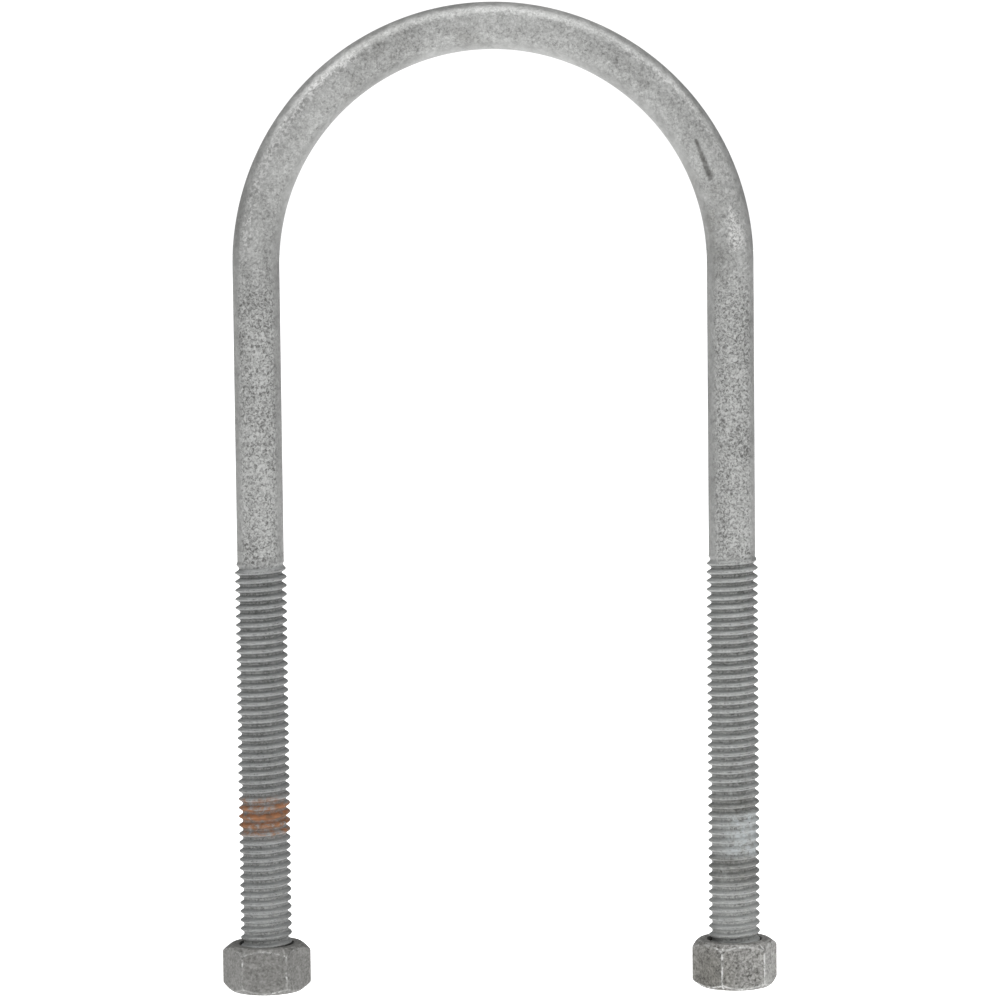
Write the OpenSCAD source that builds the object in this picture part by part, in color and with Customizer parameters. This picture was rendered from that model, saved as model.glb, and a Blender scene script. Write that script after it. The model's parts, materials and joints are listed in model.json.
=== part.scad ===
// Round-bend U-bolt of hot-dip galvanised steel rod, for holding a pipe or tube against a plate.
// The ends of both legs have a rolled thread, with a hex nut on each, about flush with its end.
// The origin is the centre of the bend, on the axis of the pipe that the bend holds. The U lies
// in the XZ plane, the bend is up, the legs hang down along Z, and the pipe lies along Y.

/* [Bent rod] */
// Diameter of the plain rod, zinc included
rod_d = 8.5; // [7.9:0.02:9.2]
// Distance between the centre lines of the two legs
leg_spacing = 85.6; // [40:0.1:150]
// Drop from the centre of the bend to the ends of the legs
leg_drop = 131.5; // [110:0.1:200]

/* [Thread on the legs] */
// Diameter over the crests, zinc included
thread_d = 9.46; // [9:0.02:9.58]
// Diameter at the bottom of the grooves
thread_root_d = 7.8; // [7.2:0.02:8.4]
// Distance from one turn to the next, for 16 turns to the inch
thread_pitch = 1.5875; // [1.25:0.0125:2]
// Turns on each leg
thread_turns = 48; // [10:1:60]
// Width of the flat on each crest
crest_flat = 0.25; // [0.1:0.05:0.6]

/* [Hex nuts] */
// Size across the flats
nut_af = 14; // [12:0.1:16]
// Height from face to face
nut_h = 8.5; // [6:0.1:10]
// Slope of the chamfers that round off the corners, from the faces
chamfer_angle = 38; // [20:1:45]
// How far the left nut reaches below the end of its leg
left_nut_overhang = 0.1; // [0:0.05:1]
// How far the right nut reaches below the end of its leg
right_nut_overhang = 0.75; // [0:0.05:1]
// Turn of the left nut at rest, from a corner that points along X
left_nut_angle = -2; // [-30:0.5:30]
// Turn of the right nut at rest, from a corner that points along X
right_nut_angle = 8; // [-30:0.5:30]

/* [Tapped holes] */
// Gap all round between the thread's crests and the tapped thread's lining
thread_gap = 0.09; // [0.05:0.01:0.2]
// Diameter of the hole's mouth where it is countersunk
mouth_d = 10; // [9.9:0.05:10.6]
// Wall of the tapped thread's lining
lining_wall = 0.63; // [0.6:0.01:0.8]
// Gap all round between the lining and the nut that turns on it
lining_gap = 0.02; // [0.01:0.01:0.1]

/* [Hidden] */

ROUND_FN = 96;
FLANK_ANGLE = 30;         // each side of the thread's groove, from square to the leg
TIP_INSET = 0.2;          // how far the leg's end face stays inside the thread's root
TIP_TO_CREST = 0.5;       // from the leg's end to the middle of the first crest
RUN_OUT = 0.6;            // length of the cone where the thread fades into the plain rod
FACE_SHARE = 0.935;       // diameter of a nut's flat face, as a share of its size across flats
HEX_SIDES = 6;
CUT = 1;                  // how far a hole runs past the faces that it opens in

rod_r = rod_d / 2;
bend_r = leg_spacing / 2;

crest_r = thread_d / 2;
root_r = thread_root_d / 2;
flank = (crest_r - root_r) * tan(FLANK_ANGLE);
first_crest_z = -leg_drop + TIP_TO_CREST;
last_crest_z = first_crest_z + thread_turns * thread_pitch;

corner_r = nut_af / 2 / cos(180 / HEX_SIDES);
face_r = nut_af / 2 * FACE_SHARE;
left_nut_z = -leg_drop - left_nut_overhang;
right_nut_z = -leg_drop - right_nut_overhang;

lining_bore_r = crest_r + thread_gap;
lining_r = lining_bore_r + lining_wall;
mouth_r = mouth_d / 2;
mouth_depth = mouth_r - lining_bore_r;

ZINC = [0.60, 0.61, 0.60];
NUT_ZINC = [0.52, 0.51, 0.49];

// Half outline of a leg, from its end on the axis up to the bend. Each turn of the thread is
// a ring-shaped groove of the thread's own section.
function leg_outline() = concat(
    [[0, -leg_drop], [root_r - TIP_INSET, -leg_drop]],
    [for (turn = [0 : thread_turns - 1]) each groove_points(first_crest_z + turn * thread_pitch)],
    [
        [crest_r, last_crest_z - crest_flat / 2],
        [crest_r, last_crest_z + crest_flat / 2],
        [rod_r, last_crest_z + crest_flat / 2 + RUN_OUT],
        [rod_r, 0],
        [0, 0]
    ]
);

// One crest, whose middle is at crest_z, and the groove above it
function groove_points(crest_z) = [
    [crest_r, crest_z - crest_flat / 2],
    [crest_r, crest_z + crest_flat / 2],
    [root_r, crest_z + crest_flat / 2 + flank],
    [root_r, crest_z + thread_pitch - crest_flat / 2 - flank]
];

module leg() {
    rotate_extrude($fn = ROUND_FN) polygon(leg_outline());
}

module bend() {
    rotate([90, 0, 0])
        rotate_extrude(angle = 180, $fn = ROUND_FN)
            translate([bend_r, 0]) circle(r = rod_r, $fn = ROUND_FN);
}

module bent_rod() {
    color(ZINC) union() {
        bend();
        translate([-bend_r, 0, 0]) leg();
        translate([bend_r, 0, 0]) leg();
    }
}

// A hexagonal prism standing on Z = 0, with its corners chamfered at both faces
module nut_blank() {
    chamfer_h = (corner_r - face_r) * tan(chamfer_angle);
    intersection() {
        linear_extrude(nut_h) circle(r = corner_r, $fn = HEX_SIDES);
        rotate_extrude($fn = ROUND_FN) polygon([
            [0, 0],
            [face_r, 0],
            [corner_r, chamfer_h],
            [corner_r, nut_h - chamfer_h],
            [face_r, nut_h],
            [0, nut_h]
        ]);
    }
}

// The hexagonal body of a nut, bored to turn on its thread's lining
module nut_body() {
    difference() {
        nut_blank();
        translate([0, 0, -CUT])
            cylinder(r = lining_r + lining_gap, h = nut_h + 2 * CUT, $fn = ROUND_FN);
    }
}

// The tapped metal next to the leg, with its hole countersunk at both faces
module nut_lining() {
    rotate_extrude($fn = ROUND_FN) polygon([
        [mouth_r, 0],
        [lining_r, 0],
        [lining_r, nut_h],
        [mouth_r, nut_h],
        [lining_bore_r, nut_h - mouth_depth],
        [lining_bore_r, mouth_depth]
    ]);
}

module left_nut() {
    color(NUT_ZINC) translate([-bend_r, 0, left_nut_z]) rotate(left_nut_angle) nut_body();
}

module left_nut_thread() {
    color(ZINC) translate([-bend_r, 0, left_nut_z]) nut_lining();
}

module right_nut() {
    color(NUT_ZINC) translate([bend_r, 0, right_nut_z]) rotate(right_nut_angle) nut_body();
}

module right_nut_thread() {
    color(ZINC) translate([bend_r, 0, right_nut_z]) nut_lining();
}

bent_rod();
left_nut();
left_nut_thread();
right_nut();
right_nut_thread();
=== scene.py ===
"""Finished looks of a galvanised U-bolt with two hex nuts, laid out as a Blender add-on."""
import json
import math

import bmesh
import bpy
from mathutils import Matrix, Vector


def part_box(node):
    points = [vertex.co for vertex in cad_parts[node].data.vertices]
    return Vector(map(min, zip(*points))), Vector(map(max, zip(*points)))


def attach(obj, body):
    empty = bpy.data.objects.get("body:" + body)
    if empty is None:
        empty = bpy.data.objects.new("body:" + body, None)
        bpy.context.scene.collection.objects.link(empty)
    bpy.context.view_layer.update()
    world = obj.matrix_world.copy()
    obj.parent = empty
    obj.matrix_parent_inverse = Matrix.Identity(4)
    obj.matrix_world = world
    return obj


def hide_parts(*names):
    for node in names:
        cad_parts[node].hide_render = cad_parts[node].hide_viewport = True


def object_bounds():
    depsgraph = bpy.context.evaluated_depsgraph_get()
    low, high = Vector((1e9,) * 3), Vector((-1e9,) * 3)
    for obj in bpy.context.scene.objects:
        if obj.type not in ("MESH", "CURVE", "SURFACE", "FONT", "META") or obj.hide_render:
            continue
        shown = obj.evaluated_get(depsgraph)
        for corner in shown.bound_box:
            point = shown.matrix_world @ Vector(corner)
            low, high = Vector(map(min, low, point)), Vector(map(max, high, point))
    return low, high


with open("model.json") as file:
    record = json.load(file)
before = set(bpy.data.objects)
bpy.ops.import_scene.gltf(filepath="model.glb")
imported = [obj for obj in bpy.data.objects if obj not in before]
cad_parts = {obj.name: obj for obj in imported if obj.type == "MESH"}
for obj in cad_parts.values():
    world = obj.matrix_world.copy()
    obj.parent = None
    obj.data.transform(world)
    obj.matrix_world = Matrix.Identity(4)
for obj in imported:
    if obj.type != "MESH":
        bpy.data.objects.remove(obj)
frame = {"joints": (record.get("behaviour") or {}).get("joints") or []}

bl_info = {
    "name": "Galvanised U-bolt",
    "version": (1, 0, 0),
    "blender": (4, 5, 0),
    "location": "3D View > Sidebar > U-bolt",
    "description": "Builds the threaded U rod, its two hex nuts and the studio around them",
    "category": "Object",
}

MM = 0.001
CAD_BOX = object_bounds()
ROD_LOW, ROD_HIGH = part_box("bent_rod")
LEFT_LOW, LEFT_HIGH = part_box("left_nut_thread")
RIGHT_LOW, RIGHT_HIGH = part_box("right_nut_thread")
LEFT_AXIS_X = (LEFT_LOW.x + LEFT_HIGH.x) / 2
RIGHT_AXIS_X = (RIGHT_LOW.x + RIGHT_HIGH.x) / 2
BEND_RADIUS = (RIGHT_AXIS_X - LEFT_AXIS_X) / 2
ROD_RADIUS = ROD_HIGH.z - BEND_RADIUS
CREST_RADIUS = ROD_HIGH.x - RIGHT_AXIS_X
TIP_Z = ROD_LOW.z
NUT_HEIGHT = LEFT_HIGH.z - LEFT_LOW.z
NUT_TRAVEL_DOWN = min(j["range_m"][0] for j in frame["joints"] if j["type"] == "slide")

# The nuts' undersides lie this far above the frame's, to stay inside its box.
NUT_LIFT = 0.03 * MM

# 16 turns to the inch, with flanks at 60 degrees to each other.
PITCH = 1.5875 * MM
FLANK_SLOPE = math.tan(math.radians(60))
TIP_CHAMFER_SLOPE = 1.2
MOUTH_SLOPE = 0.85
BORE_ROUNDING = 0.15 * MM

# Points this near are merged, and columns crowd this much towards a nut's corners.
MERGE_DISTANCE = 0.002 * MM
CROWDING = 0.9
HEX_SIDES = 6
SIDE_ANGLE = math.tau / HEX_SIDES

# The pale run covers the right thread between these heights.
RUN_LOW_Z = -108.2 * MM
RUN_HIGH_Z = -100.2 * MM
# Zinc shades part way between bare metal and its dull oxide.
METALLIC = 0.40
# The stain on the right nut.
STAIN_PLACE = (36.5 * MM, -5.5 * MM, -129.5 * MM)
# Handling marks: place and reach in millimetres, and strength.
SMUDGES = (
    ((-19.4, -4.0, 39.5), 7.0, 0.5),
    ((-26.2, -4.0, 29.5), 2.4, 0.8),
    ((-23.8, -4.0, 31.6), 2.4, 0.8),
    ((-3.7, -4.0, 40.9), 5.0, 0.5),
    ((38.5, -2.5, 14.0), 8.0, 0.4),
    ((40.2, -4.0, 6.0), 5.0, 1.25),
    ((38.5, -2.5, 0.5), 8.0, 0.5),
)
# The ends of a drip, and of a worn line painted bright as a sheen, in millimetres.
DRIP_TOP = (36.4, -4.1, 21.8)
DRIP_BOTTOM = (38.9, -4.1, 15.1)
PAINTED_SHEEN_TOP = (42.5, -3.8, 9.7)
PAINTED_SHEEN_BOTTOM = (43.7, -3.8, 3.7)
# The shoulders' painted highlight, with its bright specks, lies this far outside the rod's centre line.
PAINTED_HIGHLIGHT_OFFSET = 1.8 * MM
# The right thread's zinc is lighter than the left one's by this much.
RIGHT_THREAD_LIFT = (1.20, 1.20, 1.19)
SENSOR_WIDTH = 36.0
# What only the camera sees: a glow added to the floor's, and one in place of the room's.
FLOOR_SEEN_GLOW = 0.6
BACKGROUND_STRENGTH = 1.1


def size(name, about, value, low=0.0, high=1.0):
    """A length property, in metres."""
    return bpy.props.FloatProperty(
        name=name, description=about, default=value, min=low, max=high, unit="LENGTH", precision=5
    )


def share(name, about, value, low=0.0, high=1.0):
    """A plain number property."""
    return bpy.props.FloatProperty(name=name, description=about, default=value, min=low, max=high)


def turn(name, about, degrees):
    """An angle property, kept in radians."""
    return bpy.props.FloatProperty(
        name=name, description=about, default=math.radians(degrees), subtype="ANGLE"
    )


def colour(name, about, value):
    """A colour property, linear red, green and blue."""
    return bpy.props.FloatVectorProperty(
        name=name, description=about, default=value, subtype="COLOR", size=3, min=0.0, max=1.0
    )


def count(name, about, value, low, high):
    """A whole number property."""
    return bpy.props.IntProperty(name=name, description=about, default=value, min=low, max=high)


class RodSizes(bpy.types.PropertyGroup):
    """Sizes of the bent rod and its two threads."""

    rod_radius: size("Rod radius", "Radius of the plain rod", ROD_RADIUS)
    bend_radius: size("Bend radius", "From the centre of the bend to the rod's centre line", BEND_RADIUS)
    plain_end_z: size("Plain rod's end", "Height where the threaded part joins", -52.2 * MM, -1.0)
    tip_z: size("Tip height", "Height of both ends of the rod", TIP_Z, -1.0)
    tip_radius: size("Tip radius", "Radius of the flat end inside its chamfer", 3.5 * MM)
    pitch: size("Thread pitch", "Rise of the thread in one turn", PITCH)
    crest_radius: size("Crest radius", "Radius over the thread's crests", CREST_RADIUS)
    crest_half: size("Half crest width", "Half the width of the flat along a crest", 0.13 * MM)
    root_top: size("Root radius at the top", "Radius of the groove's floor where it starts", 3.82 * MM)
    root_end: size("Root radius at the tip", "Radius of the groove's floor at the tip", 4.12 * MM)
    crest_round: size("Crest rounding", "How far a crest's edges are rounded", 0.40 * MM)
    root_round: size("Root rounding", "How far a groove's corners are filled with zinc", 0.30 * MM)
    run_out_z: size("Run-out height", "Height where the groove starts to cut in", -53.0 * MM, -1.0)
    run_out: size("Run-out length", "Length over which the groove reaches full depth", 2.1 * MM)
    left_crest_z: size("Left crest height", "A crest on the left thread's left side", -55.26 * MM, -1.0)
    right_crest_z: size("Right crest height", "A crest on the right thread's left side", -54.72 * MM, -1.0)
    lump_height: size("Lump height", "Unevenness of the zinc coat", 0.05 * MM)
    lump_size: size("Lump size", "Width of a lump in the zinc coat", 5.0 * MM)
    around: count("Faces around", "Faces round the rod", 64, 16, 128)
    rows_a_turn: count("Rows a turn", "Rows of faces in one turn of thread", 10, 6, 24)
    bend_rows: count("Bend rows", "Rows of faces along the plain rod", 240, 40, 600)
    seed: count("Seed", "Seed of the uneven coat", 3, 0, 999)


class NutSizes(bpy.types.PropertyGroup):
    """Sizes that both hex nuts share, and how far each is turned."""

    left_across: size("Left nut across flats", "Width between two flats", 14.04 * MM)
    right_across: size("Right nut across flats", "Width between two flats", 13.94 * MM)
    height: size("Height", "Height of the nut", NUT_HEIGHT)
    left_bottom_z: size("Left nut's bottom", "Height of its lower face", LEFT_LOW.z + NUT_LIFT, -1.0)
    right_bottom_z: size("Right nut's bottom", "Height of its lower face", RIGHT_LOW.z + NUT_LIFT, -1.0)
    face_radius: size("Face radius", "Radius of the flat face inside its chamfer", 6.5 * MM)
    chamfer_angle: turn("Chamfer angle", "Slope of the corner chamfer below the face", 38)
    left_corner: size("Left nut's corners", "Rounding of the six upright edges", 0.38 * MM)
    right_corner: size("Right nut's corners", "Rounding of the six upright edges", 0.55 * MM)
    mouth_radius: size("Mouth radius", "Radius of the countersunk mouth at each face", 5.0 * MM)
    minor_radius: size("Minor radius", "Radius over the inner thread's crests", 4.22 * MM)
    major_radius: size("Major radius", "Radius of the inner thread's groove", 4.92 * MM)
    play: size("Play", "Space between the rod's thread and the nut's", 0.13 * MM)
    left_turn: turn("Left nut's turn", "Rest angle of the left nut", -2.0)
    right_turn: turn("Right nut's turn", "Rest angle of the right nut", 8.0)
    lump_height: size("Lump height", "Unevenness of the zinc coat", 0.04 * MM)
    lump_size: size("Lump size", "Width of a lump in the zinc coat", 2.4 * MM)
    side_columns: count("Columns a side", "Columns of faces across one flat", 24, 6, 64)
    skin_rows: count("Skin rows", "Rows of faces from mouth to mouth over the outside", 76, 20, 200)
    rows_a_turn: count("Rows a turn", "Rows of faces in one turn of thread", 12, 6, 24)


class ZincColours(bpy.types.PropertyGroup):
    """Colours of the zinc coat and its marks, and of the light and shade painted on it."""

    rod_dark: colour("Rod, dark grains", "Dark grains of the plain rod's zinc", (0.155, 0.155, 0.15))
    rod_light: colour("Rod, light grains", "Light grains of the plain rod's zinc", (0.56, 0.565, 0.555))
    thread_tint: colour("Thread", "What the thread's zinc is multiplied by", (0.93, 0.94, 0.94))
    crest_tint: colour("Crests", "What a crest is multiplied by", (0.80, 0.80, 0.80))
    # Painted shade: multiplies the thread's groove floors, and more so the flanks facing down in them.
    groove_painted_shade: colour("Groove dirt", "What a groove's floor is multiplied by", (0.66, 0.66, 0.66))
    rust: colour("Rust", "Rust on the left thread", (0.42, 0.185, 0.082))
    old_rust: colour("Old rust", "Brown edge of the rust", (0.25, 0.135, 0.072))
    zinc_run: colour("Zinc run", "Pale run of zinc over the right thread", (0.52, 0.555, 0.565))
    smudge: colour("Smudge", "What the handling marks are multiplied by", (0.62, 0.61, 0.59))
    left_nut_dark: colour("Left nut, dark", "Dark grains of the left nut", (0.125, 0.123, 0.115))
    left_nut_light: colour("Left nut, light", "Light grains of the left nut", (0.32, 0.317, 0.305))
    right_nut_dark: colour("Right nut, dark", "Dark grains of the right nut", (0.09, 0.087, 0.08))
    right_nut_light: colour("Right nut, light", "Light grains of the right nut", (0.53, 0.525, 0.505))
    # Painted light: the tone given to the thread's flanks that face up.
    upper_flank_painted_light: colour(
        "Upper flanks", "Bright zinc on the thread's crests and upper flanks", (0.33, 0.34, 0.34)
    )
    # Painted light from below: the lighter tone of the thread's flanks facing down.
    lower_flank_painted_light: colour("Lower flank", "Underside of each thread, near its crest", (0.51, 0.52, 0.52))
    old_dirt: colour("Old dirt", "Dirt in the drip mark on the bend", (0.10, 0.098, 0.092))
    stain: colour("Nut stain", "What the stain on the right nut is multiplied by", (0.60, 0.59, 0.56))
    # Bright zinc of the nuts' worn edges, also used for the painted highlight and sheen on the rod's
    # shoulders.
    rubbed_and_highlight: colour("Rubbed edges", "Bright zinc along worn edges", (0.72, 0.72, 0.71))


class StudioSettings(bpy.types.PropertyGroup):
    """The camera, the floor and the lights."""

    aim: bpy.props.FloatVectorProperty(
        name="Aim",
        description="Point that the camera looks at",
        default=(0.702 * MM, 0.0, -42.66 * MM),
        unit="LENGTH",
        size=3,
    )
    distance: size("Distance", "From the camera to its aim", 659.2 * MM, 0.1, 10.0)
    elevation: turn("Elevation", "Height of the camera above the level, as an angle", 4.166)
    azimuth: turn("Azimuth", "Turn of the camera about the upright", 1.806)
    roll: turn("Roll", "Turn of the camera about its own line of sight", -0.629)
    lens: share("Lens", "Focal length in millimetres", 130.92, 10.0, 1000.0)
    floor_colour: colour("Floor", "Colour of the floor", (0.92, 0.92, 0.92))
    floor_glow: share("Floor glow", "Light that the floor gives by itself", 0.52)
    room_light: share("Room light", "Strength of the even light all round", 0.20, 0.0, 10.0)
    key_light: share("Key light", "Power of the soft box in front and above, in watts", 2.6, 0.0, 1000.0)
    top_light: share("Top light", "Power of the soft box overhead, in watts", 9.2, 0.0, 1000.0)


class Wire:
    """A value in a node tree. Arithmetic on it adds the Math nodes that work it out."""

    def __init__(self, tree, socket):
        self.tree = tree
        self.socket = socket

    def math(self, operation, *others, first=None):
        """One Math node on this value and others, or on first and this value."""
        values = (self, *others) if first is None else (first, self)
        node = add_node(self.tree, "ShaderNodeMath")
        node.operation = operation
        for socket, value in zip(node.inputs, values):
            feed(self.tree, socket, value)
        return Wire(self.tree, node.outputs[0])

    def __add__(self, other):
        return self.math("ADD", other)

    def __radd__(self, other):
        return self.math("ADD", other)

    def __sub__(self, other):
        return self.math("SUBTRACT", other)

    def __rsub__(self, other):
        return self.math("SUBTRACT", first=other)

    def __mul__(self, other):
        return self.math("MULTIPLY", other)

    def __rmul__(self, other):
        return self.math("MULTIPLY", other)

    def __truediv__(self, other):
        return self.math("DIVIDE", other)

    def __rtruediv__(self, other):
        return self.math("DIVIDE", first=other)

    def limit(self, low=0.0, high=1.0):
        """The value kept between low and high."""
        return self.math("MAXIMUM", low).math("MINIMUM", high)


def add_node(tree, kind):
    """A new node, set out in columns so that the tree can be read."""
    node = tree.nodes.new(kind)
    place = len(tree.nodes)
    node.location = (190 * (place // 9), -170 * (place % 9))
    return node


def feed(tree, socket, value):
    """Links a wire to a socket, or sets the socket to a plain value."""
    if isinstance(value, Wire):
        tree.links.new(value.socket, socket)
    else:
        socket.default_value = value


def step(value, low, high):
    """A soft step from 0 at low to 1 at high."""
    tree = value.tree
    node = add_node(tree, "ShaderNodeMapRange")
    node.interpolation_type = "SMOOTHSTEP"
    feed(tree, node.inputs["Value"], value)
    feed(tree, node.inputs["From Min"], low)
    feed(tree, node.inputs["From Max"], high)
    return Wire(tree, node.outputs[0])


def vector(tree, x, y, z):
    """A vector from three values."""
    node = add_node(tree, "ShaderNodeCombineXYZ")
    for socket, value in zip(node.inputs, (x, y, z)):
        feed(tree, socket, value)
    return Wire(tree, node.outputs[0])


def parts(wire):
    """The x, y and z of a vector."""
    node = add_node(wire.tree, "ShaderNodeSeparateXYZ")
    wire.tree.links.new(wire.socket, node.inputs[0])
    return [Wire(wire.tree, socket) for socket in node.outputs]


def noise(point, scale, detail=2.0, roughness=0.5, seed=0.0, distortion=0.0):
    """Smooth random values about 0.5, of one feature in each 1 / scale metres."""
    node = add_node(point.tree, "ShaderNodeTexNoise")
    node.noise_dimensions = "4D"
    feed(point.tree, node.inputs["Vector"], point)
    feed(point.tree, node.inputs["W"], seed)
    feed(point.tree, node.inputs["Scale"], scale)
    feed(point.tree, node.inputs["Detail"], detail)
    feed(point.tree, node.inputs["Roughness"], roughness)
    feed(point.tree, node.inputs["Distortion"], distortion)
    return Wire(point.tree, node.outputs[0])


class ShapeTree:
    """A Geometry Nodes tree with named inputs, built up node by node."""

    def __init__(self, name):
        self.tree = bpy.data.node_groups.new(name, "GeometryNodeTree")
        self.source = self.tree.nodes.new("NodeGroupInput")
        self.result = self.tree.nodes.new("NodeGroupOutput")
        self.tree.interface.new_socket("Geometry", in_out="OUTPUT", socket_type="NodeSocketGeometry")

    def asks(self, name, kind="Float"):
        """Adds a named input and gives its wire."""
        self.tree.interface.new_socket(name, in_out="INPUT", socket_type="NodeSocket" + kind)
        return Wire(self.tree, self.source.outputs[name])

    def ends_with(self, geometry):
        """Makes this geometry the tree's result."""
        self.tree.links.new(geometry.socket, self.result.inputs[0])

    def node(self, kind, output=0, settings=None, **values):
        """Adds a node, sets or links its inputs by name, and gives one output's wire."""
        node = add_node(self.tree, kind)
        for name, value in (settings or {}).items():
            setattr(node, name, value)
        for name, value in values.items():
            feed(self.tree, node.inputs[name.replace("_", " ")], value)
        return Wire(self.tree, node.outputs[output])

    def sheet(self, rows, columns):
        """A flat sheet of faces, and the row and column number of each of its points."""
        mesh = self.node(
            "GeometryNodeMeshGrid",
            Size_X=rows,
            Size_Y=columns,
            Vertices_X=rows + 1,
            Vertices_Y=columns + 1,
        )
        number = self.node("GeometryNodeInputIndex") + 0.5
        row = (number / (columns + 1)).math("FLOOR")
        return mesh, row, (number - row * (columns + 1)).math("FLOOR")

    def move_to(self, mesh, x, y, z):
        """Puts each point of the mesh at its own place."""
        return self.node("GeometryNodeSetPosition", Geometry=mesh, Position=vector(self.tree, x, y, z))

    def keep(self, mesh, name, value, kind="FLOAT"):
        """Stores a value on each point, for the material to read."""
        node = add_node(self.tree, "GeometryNodeStoreNamedAttribute")
        node.data_type = kind
        node.domain = "POINT"
        node.inputs["Name"].default_value = name
        feed(self.tree, node.inputs["Geometry"], mesh)
        feed(self.tree, node.inputs["Value"], value)
        return Wire(self.tree, node.outputs[0])

    def join(self, *meshes):
        """Joins meshes and merges the points that lie on each other."""
        node = add_node(self.tree, "GeometryNodeJoinGeometry")
        for mesh in meshes:
            self.tree.links.new(mesh.socket, node.inputs[0])
        joined = Wire(self.tree, node.outputs[0])
        return self.node("GeometryNodeMergeByDistance", Geometry=joined, Distance=MERGE_DISTANCE)

    def uneven(self, mesh, height, width, seed):
        """Sinks the surface here and there, by up to height, as a dipped coat does."""
        point = self.node("GeometryNodeInputPosition")
        broad = noise(point, 1 / width, 2.0, 0.5, seed)
        fine = noise(point, 5 / width, 1.0, 0.5, seed + 7.0)
        sink = (broad * 0.75 + fine * 0.25).limit() * height
        node = add_node(self.tree, "ShaderNodeVectorMath")
        node.operation = "SCALE"
        self.tree.links.new(self.node("GeometryNodeInputNormal").socket, node.inputs[0])
        feed(self.tree, node.inputs["Scale"], 0 - sink)
        return self.node("GeometryNodeSetPosition", Geometry=mesh, Offset=Wire(self.tree, node.outputs[0]))

    def finish(self, mesh, material):
        """Ends the tree with smooth shading, real geometry and its material."""
        smooth = self.node("GeometryNodeSetShadeSmooth", Geometry=mesh)
        real = self.node("GeometryNodeRealizeInstances", Geometry=smooth)
        self.ends_with(self.node("GeometryNodeSetMaterial", Geometry=real, Material=material))


def turns_from_crest(z, crest_z, angle, pitch):
    """How many pitches a point lies above the nearest crest, from 0 on it to 0.5 in the groove."""
    return ((z - crest_z) / pitch - angle / math.tau + 0.5).math("PINGPONG", 0.5)


def threaded_leg_tree():
    """One straight threaded leg, from its tip to the plain rod, as a node group."""
    shape = ShapeTree("Threaded leg")
    axis_x = shape.asks("Axis X")
    crest_z = shape.asks("Crest Height")
    facing = shape.asks("Facing")
    rod_radius = shape.asks("Rod Radius")
    plain_end_z = shape.asks("Plain End")
    tip_z = shape.asks("Tip Height")
    tip_radius = shape.asks("Tip Radius")
    pitch = shape.asks("Pitch")
    crest_radius = shape.asks("Crest Radius")
    crest_half = shape.asks("Half Crest")
    root_top = shape.asks("Root Radius Top")
    root_end = shape.asks("Root Radius End")
    crest_round = shape.asks("Crest Rounding")
    root_round = shape.asks("Root Rounding")
    run_out_z = shape.asks("Run-out Height")
    run_out = shape.asks("Run-out Length")
    zinc_run = shape.asks("Zinc Run")
    around = shape.asks("Around", "Int")
    rows_a_turn = shape.asks("Rows a Turn", "Int")

    rows_below = (((crest_z - tip_z) / pitch).math("CEIL") + 1) * rows_a_turn
    rows_above = (((plain_end_z - crest_z) / pitch).math("CEIL") + 1) * rows_a_turn
    mesh, row, column = shape.sheet(rows_below + rows_above, around)
    angle = column * math.tau / around
    climb = (row - rows_below) / rows_a_turn + column / around - 0.5
    z = (crest_z + climb * pitch).limit(tip_z, plain_end_z)

    off_crest = turns_from_crest(z, crest_z, angle, pitch)
    flank = crest_radius + (crest_half - off_crest * pitch) * FLANK_SLOPE
    down = ((run_out_z - z) / (run_out_z - tip_z)).limit()
    root = root_top + (root_end - root_top) * down
    cut = flank.math("SMOOTH_MAX", root, root_round).math("SMOOTH_MIN", crest_radius, crest_round)

    front = step(0 - angle.math("SINE") + angle.math("COSINE") * 0.55, 0.35, 1.05)
    point = vector(
        shape.tree, axis_x + angle.math("COSINE") * rod_radius, angle.math("SINE") * rod_radius, z
    )
    ragged = noise(point, 420.0, 2.0, 0.5, 11.0)
    torn_z = z + (noise(point, 260.0, 2.0, 0.6, 12.0) - 0.5) * 9.0 * MM
    patch = step(torn_z, RUN_LOW_Z - 0.8 * MM, RUN_LOW_Z + 0.8 * MM)
    patch = patch * step(0 - torn_z, 0 - RUN_HIGH_Z - 0.8 * MM, 0 - RUN_HIGH_Z + 0.8 * MM)
    patch = (patch * front + (ragged - 0.5) * 0.7 * patch).limit() * zinc_run
    filled = cut.math("MAXIMUM", crest_radius - 0.36 * MM + (ragged - 0.5) * 0.45 * MM)
    cut = cut + (filled - cut) * patch * 0.45

    depth = ((run_out_z - z) / run_out).limit()
    radius = rod_radius + (cut - rod_radius) * depth
    chamfer = tip_radius + (z - tip_z) * TIP_CHAMFER_SLOPE
    radius = radius.math("MINIMUM", chamfer) * row.math("GREATER_THAN", 0.5)
    groove = ((crest_radius - cut) / (crest_radius - root_top)).limit() * depth

    mesh = shape.move_to(
        mesh, axis_x + radius * angle.math("COSINE"), radius * angle.math("SINE"), z
    )
    mesh = shape.keep(mesh, "threaded", depth)
    mesh = shape.keep(mesh, "groove", groove)
    mesh = shape.keep(mesh, "zinc_run", patch)
    straight = vector(
        shape.tree,
        angle.math("COSINE") * facing * rod_radius,
        angle.math("SINE") * rod_radius,
        z * facing,
    )
    mesh = shape.keep(mesh, "straight", straight, "FLOAT_VECTOR")
    shape.ends_with(shape.node("GeometryNodeFlipFaces", Mesh=mesh))
    return shape.tree


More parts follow.
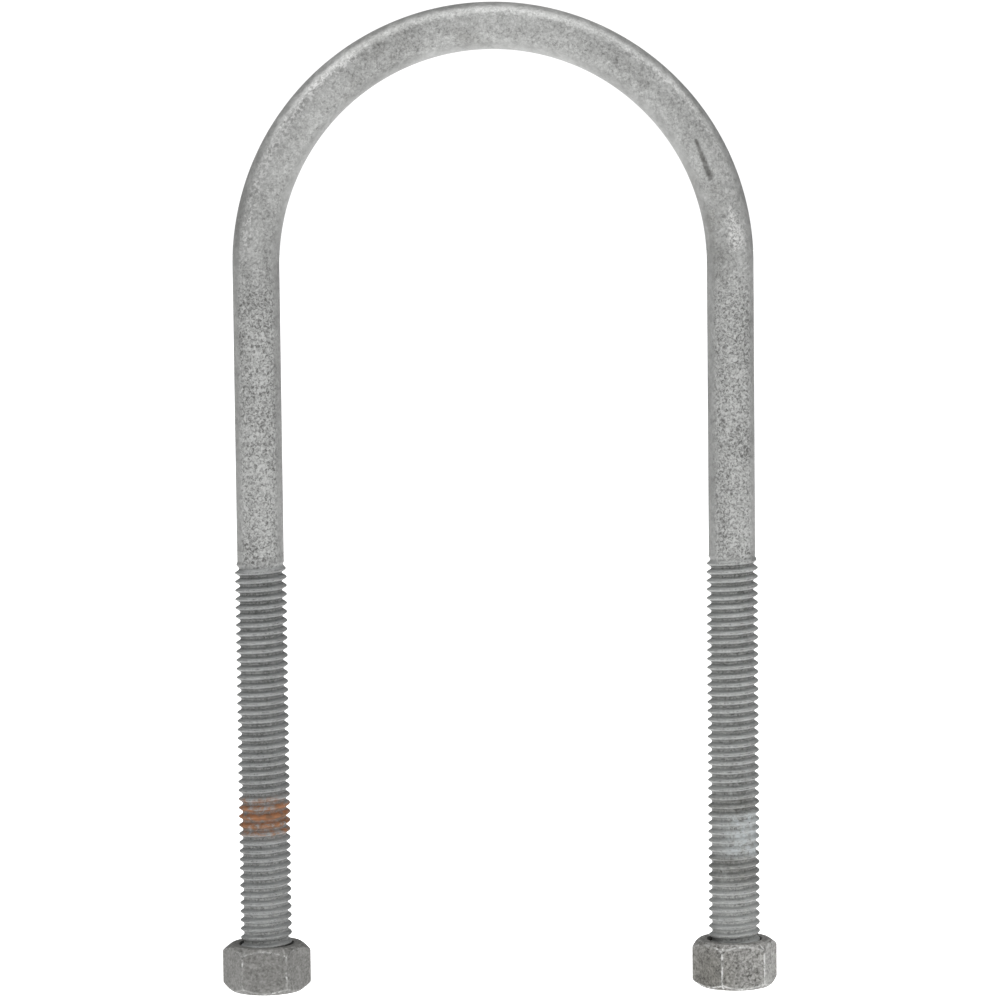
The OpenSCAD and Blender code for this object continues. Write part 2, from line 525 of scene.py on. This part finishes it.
def u_rod_tree():
    """The whole rod: two threaded legs and the plain bend between them."""
    leg_tree = threaded_leg_tree()
    shape = ShapeTree("Threaded U rod")
    wires = {
        "Rod Radius": shape.asks("Rod Radius"),
        "Plain End": shape.asks("Plain End"),
        "Tip Height": shape.asks("Tip Height"),
        "Tip Radius": shape.asks("Tip Radius"),
        "Pitch": shape.asks("Pitch"),
        "Crest Radius": shape.asks("Crest Radius"),
        "Half Crest": shape.asks("Half Crest"),
        "Root Radius Top": shape.asks("Root Radius Top"),
        "Root Radius End": shape.asks("Root Radius End"),
        "Crest Rounding": shape.asks("Crest Rounding"),
        "Root Rounding": shape.asks("Root Rounding"),
        "Run-out Height": shape.asks("Run-out Height"),
        "Run-out Length": shape.asks("Run-out Length"),
        "Around": shape.asks("Around", "Int"),
        "Rows a Turn": shape.asks("Rows a Turn", "Int"),
    }
    bend_radius = shape.asks("Bend Radius")
    left_crest_z = shape.asks("Left Crest Height")
    right_crest_z = shape.asks("Right Crest Height")
    lump_height = shape.asks("Lump Height")
    lump_size = shape.asks("Lump Size")
    bend_rows = shape.asks("Bend Rows", "Int")
    seed = shape.asks("Seed")
    material = shape.asks("Material", "Material")

    mesh, row, column = shape.sheet(bend_rows, wires["Around"])
    plain_leg = 0 - wires["Plain End"]
    path = row / bend_rows * (plain_leg * 2 + bend_radius * math.pi) - plain_leg
    bend = (path / bend_radius).limit(0.0, math.pi)
    beyond = path - bend * bend_radius
    bend_sin = bend.math("SINE")
    bend_cos = bend.math("COSINE")
    angle = column * math.tau / wires["Around"]
    reach = bend_radius + wires["Rod Radius"] * angle.math("COSINE")
    mesh = shape.move_to(
        mesh,
        bend_sin * beyond - bend_cos * reach,
        wires["Rod Radius"] * angle.math("SINE"),
        bend_sin * reach + bend_cos * beyond,
    )
    for name in ("threaded", "groove", "zinc_run"):
        mesh = shape.keep(mesh, name, 0.0)
    straight = vector(
        shape.tree,
        angle.math("COSINE") * wires["Rod Radius"],
        angle.math("SINE") * wires["Rod Radius"],
        path,
    )
    mesh = shape.keep(mesh, "straight", straight, "FLOAT_VECTOR")

    legs = []
    for axis_x, crest_z, facing, zinc_run in (
        (0 - bend_radius, left_crest_z, -1.0, 0.0),
        (bend_radius, right_crest_z, 1.0, 1.0),
    ):
        node = add_node(shape.tree, "GeometryNodeGroup")
        node.node_tree = leg_tree
        for name, wire in wires.items():
            feed(shape.tree, node.inputs[name], wire)
        feed(shape.tree, node.inputs["Axis X"], axis_x)
        feed(shape.tree, node.inputs["Crest Height"], crest_z)
        feed(shape.tree, node.inputs["Facing"], facing)
        feed(shape.tree, node.inputs["Zinc Run"], zinc_run)
        legs.append(Wire(shape.tree, node.outputs[0]))
    mesh = shape.join(mesh, *legs)
    mesh = shape.uneven(mesh, lump_height, lump_size, seed)
    shape.finish(mesh, material)
    return shape.tree


def nut_outline(place, corner_reach, face_radius, mouth_radius, half_height, slope):
    """Radius and height of the nut's outside, from the upper mouth at 0 to the lower one at 1."""
    face_end = 0.26
    chamfer_end = 0.52
    half = place.math("MINIMUM", 1 - place) * 2
    on_face = (half / face_end).limit()
    on_chamfer = ((half - face_end) / (chamfer_end - face_end)).limit()
    on_flat = ((half - chamfer_end) / (1 - chamfer_end)).limit()
    chamfer = (corner_reach - face_radius) * on_chamfer
    radius = mouth_radius + (face_radius - mouth_radius) * on_face + chamfer
    height = (half_height - chamfer * slope) * (1 - on_flat)
    upper = 1 - place.math("GREATER_THAN", 0.5) * 2
    return radius, height * upper


def hex_nut_tree():
    """A hex nut with chamfered corners, countersunk mouths and a thread inside."""
    shape = ShapeTree("Hex nut")
    axis_x = shape.asks("Axis X")
    turned = shape.asks("Turn")
    crest_z = shape.asks("Crest Height")
    across_flats = shape.asks("Across Flats")
    height = shape.asks("Height")
    bottom_z = shape.asks("Bottom Height")
    face_radius = shape.asks("Face Radius")
    chamfer_angle = shape.asks("Chamfer Angle")
    corner_radius = shape.asks("Corner Radius")
    mouth_radius = shape.asks("Mouth Radius")
    minor_radius = shape.asks("Minor Radius")
    major_radius = shape.asks("Major Radius")
    bolt_crest = shape.asks("Bolt Crest Radius")
    crest_half = shape.asks("Half Crest")
    play = shape.asks("Play")
    pitch = shape.asks("Pitch")
    lump_height = shape.asks("Lump Height")
    lump_size = shape.asks("Lump Size")
    side_columns = shape.asks("Side Columns", "Int")
    skin_rows = shape.asks("Skin Rows", "Int")
    rows_a_turn = shape.asks("Rows a Turn", "Int")
    seed = shape.asks("Seed")
    material = shape.asks("Material", "Material")

    def columns_to_angles(column):
        """Columns crowd towards the six corners, where the outline turns."""
        side = column / side_columns
        along = side.math("FRACT")
        crowded = along - (along * math.tau).math("SINE") * (CROWDING / math.tau)
        return crowded, (side.math("FLOOR") + crowded) * SIDE_ANGLE

    mesh, row, column = shape.sheet(skin_rows, side_columns * HEX_SIDES)
    crowded, angle = columns_to_angles(column)
    apothem = across_flats / 2
    from_middle = (crowded - 0.5) * SIDE_ANGLE
    from_corner = crowded.math("MINIMUM", 1 - crowded) * SIDE_ANGLE
    flat_reach = apothem / from_middle.math("COSINE")
    arc_centre = (apothem - corner_radius) / math.cos(SIDE_ANGLE / 2)
    across = arc_centre * from_corner.math("SINE")
    inside = (corner_radius * corner_radius - across * across).math("MAXIMUM", 0.0)
    arc_reach = arc_centre * from_corner.math("COSINE") + inside.math("SQRT")
    arc_end = corner_radius * math.sin(SIDE_ANGLE / 2)
    on_arc = (arc_reach * from_corner.math("SINE")).math("LESS_THAN", arc_end)
    corner_reach = flat_reach + (arc_reach - flat_reach) * on_arc

    place = row / skin_rows
    blur = place.math("MINIMUM", 1 - place).math("MINIMUM", 1.3 / skin_rows)
    slope = chamfer_angle.math("TANGENT")
    radius = 0.0
    level = 0.0
    for shift, weight in ((-1, 0.25), (0, 0.5), (1, 0.25)):
        r, h = nut_outline(
            place + blur * shift, corner_reach, face_radius, mouth_radius, height / 2, slope
        )
        radius = r * weight + radius
        level = h * weight + level
    z = bottom_z + height / 2 + level
    edge = 1 - step(from_corner, 0.004, 0.035)
    chamfer_rim = apothem - face_radius
    on_side = step(radius, face_radius, face_radius + chamfer_rim * 0.6)
    heading = angle + turned
    skin = shape.move_to(
        mesh, axis_x + radius * heading.math("COSINE"), radius * heading.math("SINE"), z
    )
    rim_z = height / 2 - (corner_reach - face_radius) * slope
    rim = 1 - step((level.math("ABSOLUTE") - rim_z).math("ABSOLUTE"), 0.05 * MM, 0.26 * MM)
    face_rim = 1 - step((radius - face_radius).math("ABSOLUTE"), 0.05 * MM, 0.22 * MM)
    wear = (edge * on_side).math("MAXIMUM", rim * on_side * 0.8).math("MAXIMUM", face_rim * 0.5)
    skin = shape.keep(skin, "wear", wear)
    skin = shape.keep(skin, "groove", 0.0)

    turns = (height / pitch).math("CEIL") + 1
    bore, row, column = shape.sheet(turns * rows_a_turn, side_columns * HEX_SIDES)
    _, angle = columns_to_angles(column)
    heading = angle + turned
    z = bottom_z + (row / rows_a_turn + angle / math.tau - 1) * pitch
    top_z = bottom_z + height
    z = z.limit(bottom_z, top_z)
    off_crest = turns_from_crest(z, crest_z, heading, pitch)
    flank = bolt_crest + play + (crest_half - off_crest * pitch) * FLANK_SLOPE
    cut = flank.math("SMOOTH_MAX", minor_radius, BORE_ROUNDING)
    cut = cut.math("SMOOTH_MIN", major_radius, BORE_ROUNDING)
    upper_mouth = mouth_radius - (top_z - z) * MOUTH_SLOPE
    lower_mouth = mouth_radius - (z - bottom_z) * MOUTH_SLOPE
    radius = cut.math("MAXIMUM", upper_mouth).math("MAXIMUM", lower_mouth)
    bore = shape.move_to(
        bore, axis_x + radius * heading.math("COSINE"), radius * heading.math("SINE"), z
    )
    bore = shape.keep(bore, "wear", 0.0)
    bore = shape.keep(bore, "groove", 1.0)
    mesh = shape.join(skin, shape.node("GeometryNodeFlipFaces", Mesh=bore))
    mesh = shape.uneven(mesh, lump_height, lump_size, seed)
    shape.finish(mesh, material)
    return shape.tree


def build_piece(name, tree, inputs):
    """Runs a tree on an empty mesh with these inputs and keeps the result as a plain mesh object."""
    holder = bpy.data.objects.new(name, bpy.data.meshes.new(name + "_start"))
    bpy.context.scene.collection.objects.link(holder)
    modifier = holder.modifiers.new("Shape", "NODES")
    modifier.node_group = tree
    wanted = dict(inputs)
    for socket in tree.interface.items_tree:
        if socket.item_type == "SOCKET" and socket.in_out == "INPUT":
            modifier[socket.identifier] = wanted.pop(socket.name)
    if wanted:
        raise ValueError(f"{name}: the tree asks for no {sorted(wanted)}")
    graph = bpy.context.evaluated_depsgraph_get()
    made = bpy.data.meshes.new_from_object(
        holder.evaluated_get(graph), preserve_all_data_layers=True, depsgraph=graph
    )
    holder.modifiers.clear()
    holder.data = made
    made.name = name
    tidy = bmesh.new()
    tidy.from_mesh(made)
    bmesh.ops.dissolve_degenerate(tidy, edges=tidy.edges, dist=MERGE_DISTANCE)
    open_edges = [edge for edge in tidy.edges if len(edge.link_faces) != 2]
    volume = tidy.calc_volume(signed=True)
    tidy.to_mesh(made)
    tidy.free()
    if open_edges or volume <= 0:
        raise ValueError(f"{name}: {len(open_edges)} open edges, volume {volume:.3g}")
    return holder


class ZincMaterial:
    """A procedural material in dull zinc, built up from wires."""

    def __init__(self, name):
        self.material = bpy.data.materials.new(name)
        self.material.use_nodes = True
        self.tree = self.material.node_tree
        self.shader = self.tree.nodes["Principled BSDF"]
        node = add_node(self.tree, "ShaderNodeTexCoord")
        self.point = Wire(self.tree, node.outputs["Object"])
        self.normal = Wire(self.tree, node.outputs["Normal"])

    def attribute(self, name, output="Fac"):
        """A value that the shape kept on its points."""
        node = add_node(self.tree, "ShaderNodeAttribute")
        node.attribute_name = name
        return Wire(self.tree, node.outputs[output])

    def blend(self, first, second, amount, kind="MIX"):
        """One colour over another, by amount."""
        node = add_node(self.tree, "ShaderNodeMix")
        node.data_type = "RGBA"
        node.blend_type = kind
        feed(self.tree, node.inputs["Factor"], amount)
        for socket, value in zip((node.inputs[6], node.inputs[7]), (first, second)):
            feed(self.tree, socket, value if isinstance(value, Wire) else (*value, 1.0))
        return Wire(self.tree, node.outputs[2])

    def scaled(self, point, x, y, z):
        """The point with each of its coordinates scaled, to draw a pattern out."""
        node = add_node(self.tree, "ShaderNodeMapping")
        feed(self.tree, node.inputs["Vector"], point)
        node.inputs["Scale"].default_value = (x, y, z)
        return Wire(self.tree, node.outputs[0])

    def spot(self, centre, reach):
        """1 at a point on the piece, fading to 0 at reach from it."""
        node = add_node(self.tree, "ShaderNodeVectorMath")
        node.operation = "DISTANCE"
        feed(self.tree, node.inputs[0], self.point)
        node.inputs[1].default_value = centre
        return 1 - step(Wire(self.tree, node.outputs["Value"]), reach * 0.2, reach)

    def streak(self, top, bottom, reach, ragged):
        """1 along a line on the piece, fading to 0 at reach from it; narrower at its top."""
        top = Vector(top) * MM
        run = Vector(bottom) * MM - top
        offsets = [a - b for a, b in zip(parts(self.point), top)]
        along = sum((o * r for o, r in zip(offsets, run)), 0.0) / run.length_squared
        along = along.limit()
        aside = sum(((o - along * r) * (o - along * r) for o, r in zip(offsets, run)), 0.0)
        width = reach * (along * 0.6 + 0.4) * (ragged * 2.0)
        return 1 - step(aside.math("SQRT") / width, 0.25, 1.0)

    def finish(self, base, roughness, relief, relief_depth):
        """Sets the shader's inputs and gives the finished material."""
        feed(self.tree, self.shader.inputs["Base Color"], base)
        feed(self.tree, self.shader.inputs["Roughness"], roughness)
        self.shader.inputs["Metallic"].default_value = METALLIC
        bump = add_node(self.tree, "ShaderNodeBump")
        bump.inputs["Strength"].default_value = 1.0
        bump.inputs["Distance"].default_value = relief_depth
        feed(self.tree, bump.inputs["Height"], relief)
        self.tree.links.new(bump.outputs[0], self.shader.inputs["Normal"])
        return self.material


def rod_zinc(colours):
    """Mottled zinc of the rod, darker on its threads, with rust, a pale run and handling marks, and with
    painted light and shade on its threads and painted glints and highlights on its plain rod.
    """
    zinc = ZincMaterial("Galvanised zinc, rod")
    straight = zinc.attribute("straight", "Vector")
    threaded = zinc.attribute("threaded")
    groove = zinc.attribute("groove")
    pale = zinc.attribute("zinc_run")
    x, y, z = parts(zinc.point)
    up = parts(zinc.normal)[2]
    grain = noise(zinc.point, 2300.0, 2.0, 0.55, 1.0, 0.9)
    mottle = noise(zinc.point, 620.0, 3.0, 0.6, 2.0, 0.8)
    cloud = noise(zinc.scaled(straight, 1.0, 1.0, 0.45), 150.0, 2.0, 0.5, 3.0)
    # Painted glints: on top of the grain everywhere, the rod's front and back quarters get stronger
    # speckle and a slightly lighter tone than its sides.
    broad = step(parts(straight)[1].math("ABSOLUTE"), 2.2 * MM, 3.5 * MM)
    on_bend = step(z, -9.0 * MM, 3.0 * MM)
    left = step(0 - x, 0.0, 0.01 * MM)
    pitted = (0.8 + broad * 2.7) * (1 - on_bend * 0.5) * (1 - threaded * 0.4) + threaded * 0.6
    tone = 0.50 + broad * 0.06 + on_bend * 0.03 + (grain - 0.5) * pitted
    tone = tone + (mottle - 0.5) * 1.0 + (cloud - 0.5) * 0.8
    base = zinc.blend(colours.rod_dark, colours.rod_light, tone.limit())
    base = zinc.blend(base, colours.thread_tint, threaded, "MULTIPLY")
    # Painted light: flanks facing up, mostly away from the groove floors, are blended to one flat tone for
    # the light that falls on them.
    painted_top_light = step(up, 0.05, 0.6) * (1 - step(groove, 0.7, 1.0) * 0.8) * threaded
    base = zinc.blend(base, colours.crest_tint, (1 - step(groove, 0.02, 0.30)) * threaded, "MULTIPLY")
    base = zinc.blend(
        base, colours.upper_flank_painted_light, painted_top_light * (0.74 + (mottle - 0.5) * 1.0 + (grain - 0.5) * 1.1).limit()
    )
    # Painted light from below: flanks facing down near each crest are made lighter.
    painted_underlight = step(0 - up, 0.2, 0.7) * (1 - step(groove, 0.35, 0.75)) * threaded
    base = zinc.blend(base, colours.lower_flank_painted_light, painted_underlight * (0.62 + (mottle - 0.5) * 0.8).limit())
    # Painted shade: the groove floors are darkened, and the flanks facing down in them more so.
    painted_shade_under = step(0 - up, 0.1, 0.8) * step(groove, 0.35, 0.75) * threaded
    base = zinc.blend(base, colours.groove_painted_shade, step(groove, 0.35, 0.95), "MULTIPLY")
    base = zinc.blend(base, colours.groove_painted_shade, painted_shade_under * 0.45, "MULTIPLY")
    base = zinc.blend(base, RIGHT_THREAD_LIFT, (1 - left) * threaded, "MULTIPLY")

    marks = step(noise(zinc.point, 300.0, 3.0, 0.6, 5.0), 0.40, 0.60)
    smudges = 0.0
    for place, reach, strength in SMUDGES:
        spot = zinc.spot([c * MM for c in place], reach * MM)
        smudges = (spot * strength).math("MAXIMUM", smudges)
    base = zinc.blend(base, colours.smudge, smudges * marks * 0.8, "MULTIPLY")
    drip = zinc.streak(DRIP_TOP, DRIP_BOTTOM, 1.0 * MM, mottle)
    base = zinc.blend(base, colours.old_dirt, drip * (0.75 + (mottle - 0.5) * 1.5).limit())
    # Worn zinc with a painted sheen: a bright streak on the right shoulder.
    rubbed_painted_sheen = zinc.streak(PAINTED_SHEEN_TOP, PAINTED_SHEEN_BOTTOM, 2.4 * MM, mottle) * step(grain, 0.42, 0.58)
    base = zinc.blend(base, colours.rubbed_and_highlight, rubbed_painted_sheen * 0.9)
    # Painted highlight: a faint bright line with brighter specks along the outer front of both shoulders,
    # stronger on the left.
    outwards = (x * x + z * z).math("SQRT") - BEND_RADIUS
    painted_highlight = 1 - step((outwards - PAINTED_HIGHLIGHT_OFFSET).math("ABSOLUTE"), 0.3 * MM, 1.5 * MM)
    painted_highlight = painted_highlight * step(0 - y, 0.0, 2.0 * MM) * step(z, -3.0 * MM, 6.0 * MM)
    painted_highlight = painted_highlight * step(x.math("ABSOLUTE"), 19.0 * MM, 27.0 * MM) * (0.55 + left * 0.45)
    highlight_flecks = step(noise(zinc.point, 1500.0, 2.0, 0.6, 14.0, 0.5), 0.48, 0.60)
    base = zinc.blend(base, colours.rubbed_and_highlight, painted_highlight * (0.08 + highlight_flecks * 0.80))

    ragged = noise(zinc.point, 700.0, 3.0, 0.65, 8.0)
    torn_z = z + (mottle - 0.5) * 5.0 * MM
    band = step(torn_z, -103.4 * MM, -101.0 * MM) * step(0 - torn_z, 95.0 * MM, 98.4 * MM) * left
    front = step(0 - y, -3.0 * MM, 2.0 * MM)
    broad_crest = 1 - step(groove, 0.55, 0.95)
    rusty = (band * (broad_crest * 1.1 + 0.22) * front * step(ragged, 0.30, 0.60)).limit()
    rust = zinc.blend(
        colours.old_rust, colours.rust, step(noise(zinc.point, 900.0, 2.0, 0.5, 9.0), 0.35, 0.6)
    )
    base = zinc.blend(base, rust, rusty * 0.95)

    above = step(torn_z, -101.0 * MM, -99.6 * MM) * step(0 - torn_z, 96.0 * MM, 98.6 * MM)
    below = step(torn_z, -115.0 * MM, -111.0 * MM) * step(0 - torn_z, 107.4 * MM, 108.8 * MM)
    dirty = (above + below) * (1 - left) * step(ragged, 0.25, 0.55)
    base = zinc.blend(base, colours.smudge, dirty * 0.85, "MULTIPLY")
    run = zinc.blend(base, colours.zinc_run, (0.40 + (mottle - 0.5) * 3.6 + (grain - 0.5) * 2.2).limit())
    base = zinc.blend(base, run, pale)
    roughness = 0.50 - on_bend * 0.13 + (mottle - 0.5) * 0.35 + rusty * 0.3
    relief = grain * 0.5 + mottle * 0.9
    return zinc.finish(base, roughness.limit(0.2, 1.0), relief, 0.09 * MM)


def nut_zinc(name, dark, light, rubbed_and_highlight, stain, rub, coarse, seed):
    """Dull brownish zinc of a nut, worn bright along its edges, with painted shade in its bore."""
    zinc = ZincMaterial(name)
    wear = zinc.attribute("wear")
    groove = zinc.attribute("groove")
    grain = noise(zinc.point, 2100.0, 2.0, 0.55, seed, 0.6)
    mottle = noise(zinc.point, 700.0, 3.0, 0.6, seed + 1.0, 0.7)
    cloud = noise(zinc.point, 220.0, 2.0, 0.5, seed + 2.0)
    tone = 0.5 + (grain - 0.5) * (2.4 * coarse) + (mottle - 0.5) * (1.3 * coarse) + (cloud - 0.5) * 0.7
    base = zinc.blend(dark, light, tone.limit())
    base = zinc.blend(base, stain, zinc.spot(STAIN_PLACE, 9.0 * MM), "MULTIPLY")
    chips = step(noise(zinc.point, 2400.0, 2.0, 0.6, seed + 4.0), 0.46, 0.62)
    chips = chips * step(noise(zinc.point, 520.0, 2.0, 0.5, seed + 5.0), 0.40, 0.62)
    wobble = step(noise(zinc.point, 1100.0, 2.0, 0.6, seed + 6.0), 0.36, 0.62)
    bright = (wear * (chips + wobble * rub)).limit()
    base = zinc.blend(base, rubbed_and_highlight, bright)
    # Painted shade: the bore inside the nut is darkened.
    base = zinc.blend(base, (0.35, 0.35, 0.34), groove, "MULTIPLY")
    roughness = (0.5 + (mottle - 0.5) * 0.3 - bright * 0.12).limit(0.2, 1.0)
    relief = grain * 0.4 + mottle * coarse
    return zinc.finish(base, roughness, relief, 0.08 * MM)


class UBOLT_OT_rod(bpy.types.Operator):
    """Builds the galvanised rod with its bend and both threads"""

    bl_idname = "ubolt.rod"
    bl_label = "Build the rod"

    def execute(self, context):
        rod = context.scene.ubolt_rod
        material = rod_zinc(context.scene.ubolt_colours)
        piece = build_piece(
            "galvanised_rod",
            u_rod_tree(),
            {
                "Rod Radius": rod.rod_radius,
                "Plain End": rod.plain_end_z,
                "Tip Height": rod.tip_z,
                "Tip Radius": rod.tip_radius,
                "Pitch": rod.pitch,
                "Crest Radius": rod.crest_radius,
                "Half Crest": rod.crest_half,
                "Root Radius Top": rod.root_top,
                "Root Radius End": rod.root_end,
                "Crest Rounding": rod.crest_round,
                "Root Rounding": rod.root_round,
                "Run-out Height": rod.run_out_z,
                "Run-out Length": rod.run_out,
                "Around": rod.around,
                "Rows a Turn": rod.rows_a_turn,
                "Bend Radius": rod.bend_radius,
                "Left Crest Height": rod.left_crest_z,
                "Right Crest Height": rod.right_crest_z,
                "Lump Height": rod.lump_height,
                "Lump Size": rod.lump_size,
                "Bend Rows": rod.bend_rows,
                "Seed": float(rod.seed),
                "Material": material,
            },
        )
        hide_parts("bent_rod")
        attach(piece, "rod")
        return {"FINISHED"}


class UBOLT_OT_nuts(bpy.types.Operator):
    """Builds both hex nuts on the rod's threads"""

    bl_idname = "ubolt.nuts"
    bl_label = "Build the nuts"

    def execute(self, context):
        nut = context.scene.ubolt_nuts
        rod = context.scene.ubolt_rod
        colours = context.scene.ubolt_colours
        tree = hex_nut_tree()
        left = nut_zinc(
            "Galvanised zinc, left nut",
            colours.left_nut_dark,
            colours.left_nut_light,
            colours.rubbed_and_highlight,
            colours.stain,
            0.25,
            0.95,
            20.0,
        )
        right = nut_zinc(
            "Galvanised zinc, right nut",
            colours.right_nut_dark,
            colours.right_nut_light,
            colours.rubbed_and_highlight,
            colours.stain,
            0.80,
            0.95,
            30.0,
        )
        for side, axis_x, crest_z, material, seed in (
            ("left", -rod.bend_radius, rod.left_crest_z, left, 21.0),
            ("right", rod.bend_radius, rod.right_crest_z, right, 31.0),
        ):
            piece = build_piece(
                side + "_hex_nut",
                tree,
                {
                    "Axis X": axis_x,
                    "Turn": getattr(nut, side + "_turn"),
                    "Crest Height": crest_z,
                    "Across Flats": getattr(nut, side + "_across"),
                    "Height": nut.height,
                    "Bottom Height": getattr(nut, side + "_bottom_z"),
                    "Face Radius": nut.face_radius,
                    "Chamfer Angle": nut.chamfer_angle,
                    "Corner Radius": getattr(nut, side + "_corner"),
                    "Mouth Radius": nut.mouth_radius,
                    "Minor Radius": nut.minor_radius,
                    "Major Radius": nut.major_radius,
                    "Bolt Crest Radius": rod.crest_radius,
                    "Half Crest": rod.crest_half,
                    "Play": nut.play,
                    "Pitch": rod.pitch,
                    "Lump Height": nut.lump_height,
                    "Lump Size": nut.lump_size,
                    "Side Columns": nut.side_columns,
                    "Skin Rows": nut.skin_rows,
                    "Rows a Turn": nut.rows_a_turn,
                    "Seed": seed,
                    "Material": material,
                },
            )
            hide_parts(side + "_nut", side + "_nut_thread")
            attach(piece, side + "_nut")
        return {"FINISHED"}


def soft_box(name, place, aim, width, height, power):
    """An area light at place, turned to aim."""
    data = bpy.data.lights.new(name, "AREA")
    data.shape = "RECTANGLE"
    data.size = width
    data.size_y = height
    data.energy = power
    light = bpy.data.objects.new(name, data)
    bpy.context.scene.collection.objects.link(light)
    light.location = place
    light.rotation_mode = "QUATERNION"
    light.rotation_quaternion = (Vector(aim) - Vector(place)).to_track_quat("-Z", "Y")
    light.visible_camera = False


class UBOLT_OT_studio(bpy.types.Operator):
    """Sets the camera, the floor and the soft lights"""

    bl_idname = "ubolt.studio"
    bl_label = "Set the studio"

    def execute(self, context):
        studio = context.scene.ubolt_studio
        floor_z = CAD_BOX[0].z + NUT_TRAVEL_DOWN
        mesh = bpy.data.meshes.new("floor")
        reach = 30.0
        corners = [(-reach, -reach, floor_z), (reach, -reach, floor_z)]
        corners += [(reach, reach, floor_z), (-reach, reach, floor_z)]
        mesh.from_pydata(corners, [], [(0, 1, 2, 3)])
        floor = bpy.data.objects.new("floor", mesh)
        context.scene.collection.objects.link(floor)
        material = bpy.data.materials.new("Pale floor")
        material.use_nodes = True
        shader = material.node_tree.nodes["Principled BSDF"]
        shader.inputs["Base Color"].default_value = (*studio.floor_colour, 1.0)
        shader.inputs["Roughness"].default_value = 0.9
        shader.inputs["Emission Color"].default_value = (1.0, 1.0, 1.0, 1.0)
        floor_tree = material.node_tree
        seen = Wire(floor_tree, add_node(floor_tree, "ShaderNodeLightPath").outputs["Is Camera Ray"])
        feed(floor_tree, shader.inputs["Emission Strength"], seen * FLOOR_SEEN_GLOW + studio.floor_glow)
        mesh.materials.append(material)

        world = bpy.data.worlds.new("Soft room")
        world.use_nodes = True
        sky = world.node_tree.nodes["Background"]
        sky.inputs["Color"].default_value = (1.0, 1.0, 1.0, 1.0)
        sky_tree = world.node_tree
        seen = Wire(sky_tree, add_node(sky_tree, "ShaderNodeLightPath").outputs["Is Camera Ray"])
        strength = seen * (BACKGROUND_STRENGTH - studio.room_light) + studio.room_light
        feed(sky_tree, sky.inputs["Strength"], strength)
        context.scene.world = world
        context.scene.view_settings.view_transform = "Standard"

        middle = (CAD_BOX[0] + CAD_BOX[1]) / 2
        soft_box("key soft box", (0.12, -1.15, 0.45), middle, 0.9, 0.8, studio.key_light)
        soft_box("top soft box", (0.0, -0.11, 0.72), middle, 2.5, 0.56, studio.top_light)

        aim = Vector(studio.aim)
        forward = Vector(
            (
                math.sin(studio.azimuth) * math.cos(studio.elevation),
                math.cos(studio.azimuth) * math.cos(studio.elevation),
                -math.sin(studio.elevation),
            )
        )
        right = Vector((math.cos(studio.azimuth), -math.sin(studio.azimuth), 0.0))
        up = right.cross(forward)
        rolled_right = right * math.cos(studio.roll) + up * math.sin(studio.roll)
        rolled_up = up * math.cos(studio.roll) - right * math.sin(studio.roll)
        data = bpy.data.cameras.new("camera")
        data.lens = studio.lens
        data.sensor_width = SENSOR_WIDTH
        data.clip_start = 0.01
        data.clip_end = 100.0
        camera = bpy.data.objects.new("camera", data)
        context.scene.collection.objects.link(camera)
        turned = Matrix((rolled_right, rolled_up, -forward)).transposed()
        camera.matrix_world = Matrix.Translation(aim - forward * studio.distance) @ turned.to_4x4()
        context.scene.camera = camera
        return {"FINISHED"}


class UBOLT_PT_panel(bpy.types.Panel):
    """The U-bolt's sizes, colours and steps, in the 3D view's sidebar"""

    bl_label = "Galvanised U-bolt"
    bl_idname = "UBOLT_PT_panel"
    bl_space_type = "VIEW_3D"
    bl_region_type = "UI"
    bl_category = "U-bolt"

    def draw(self, context):
        scene = context.scene
        for title, group, step_name in (
            ("Rod", scene.ubolt_rod, UBOLT_OT_rod.bl_idname),
            ("Nuts", scene.ubolt_nuts, UBOLT_OT_nuts.bl_idname),
            ("Colours", scene.ubolt_colours, None),
            ("Studio", scene.ubolt_studio, UBOLT_OT_studio.bl_idname),
        ):
            box = self.layout.box()
            box.label(text=title)
            for name in group.__annotations__:
                box.prop(group, name)
            if step_name:
                box.operator(step_name)


CLASSES = (
    RodSizes,
    NutSizes,
    ZincColours,
    StudioSettings,
    UBOLT_OT_rod,
    UBOLT_OT_nuts,
    UBOLT_OT_studio,
    UBOLT_PT_panel,
)
GROUPS = {
    "ubolt_rod": RodSizes,
    "ubolt_nuts": NutSizes,
    "ubolt_colours": ZincColours,
    "ubolt_studio": StudioSettings,
}


def register():
    """Adds the classes and their settings."""
    for item in CLASSES:
        bpy.utils.register_class(item)
    for name, group in GROUPS.items():
        setattr(bpy.types.Scene, name, bpy.props.PointerProperty(type=group))


def unregister():
    """Takes away what register added."""
    for name in GROUPS:
        delattr(bpy.types.Scene, name)
    for item in reversed(CLASSES):
        bpy.utils.unregister_class(item)


def main():
    """Registers the add-on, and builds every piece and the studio."""
    register()
    bpy.ops.ubolt.rod()
    bpy.ops.ubolt.nuts()
    bpy.ops.ubolt.studio()


if __name__ == "__main__":
    main()
